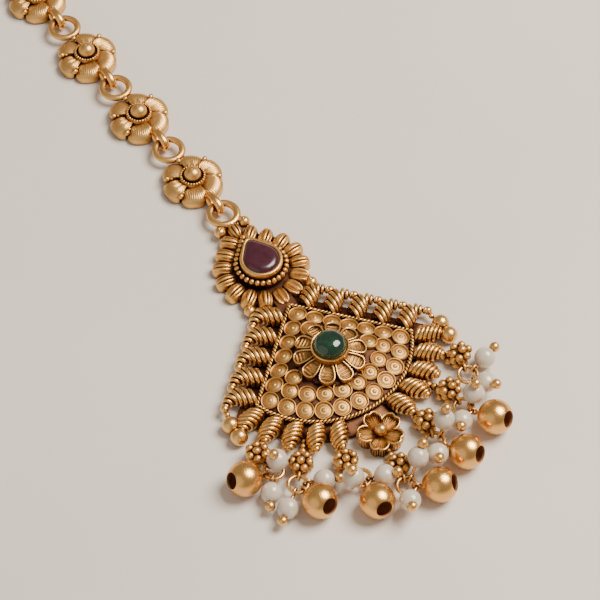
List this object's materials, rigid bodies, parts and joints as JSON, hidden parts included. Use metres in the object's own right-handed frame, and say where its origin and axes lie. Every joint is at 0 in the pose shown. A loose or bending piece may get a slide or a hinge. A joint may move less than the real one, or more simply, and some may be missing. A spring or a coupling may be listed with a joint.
{
  "type": "maang tikka",
  "caption": "Forehead jewel: a fan-shaped pendant with a flower centre and fringe of balls and pearls, a pear-shaped crest and a chain of flower links that ends in a hook.",
  "frame": {"origin": "on the flat back of the fan, under the middle of the green stone", "axes": "+Y runs from the fan up through the crest to the chain and the hook, +Z points out of the face with the stones, +X is to the right seen from that face; the jewel lies on its back on z = 0"},
  "size_m": [0.0477, 0.1434, 0.0082],
  "materials": {
    "gold": "antique matte gold with dark red-brown recesses",
    "ball_gold": "satin gold with a fine speckle",
    "pearl": "cream pearl with a soft gloss; pin, loop and end bead are gold",
    "ruby_stone": "polished dark red cabochon with a flat table",
    "emerald_stone": "polished dark green, cut round"
  },
  "bodies": {
    "root": {"pendant_frame": "gold", "jump_ring_1": "gold", "jump_ring_2": "gold", "jump_ring_3": "gold", "jump_ring_4": "gold", "jump_ring_5": "gold", "jump_ring_6": "gold", "jump_ring_7": "gold", "flower_link_1": "gold", "flower_link_2": "gold", "flower_link_3": "gold", "flower_link_4": "gold", "end_hook": "gold", "ruby": "ruby_stone", "emerald": "emerald_stone", "hollow_ball_1": "ball_gold", "hollow_ball_2": "ball_gold", "hollow_ball_3": "ball_gold", "hollow_ball_4": "ball_gold", "hollow_ball_5": "ball_gold", "hollow_ball_6": "ball_gold", "pearl_drop_1": "pearl", "pearl_drop_2": "pearl", "pearl_drop_3": "pearl", "pearl_drop_4": "pearl", "pearl_drop_5": "pearl", "pearl_drop_6": "pearl", "pearl_drop_7": "pearl", "pearl_drop_8": "pearl", "pearl_drop_9": "pearl", "pearl_drop_10": "pearl", "pearl_drop_11": "pearl", "pearl_drop_12": "pearl", "pearl_drop_13": "pearl", "pearl_drop_14": "pearl"}
  },
  "joints": []
}
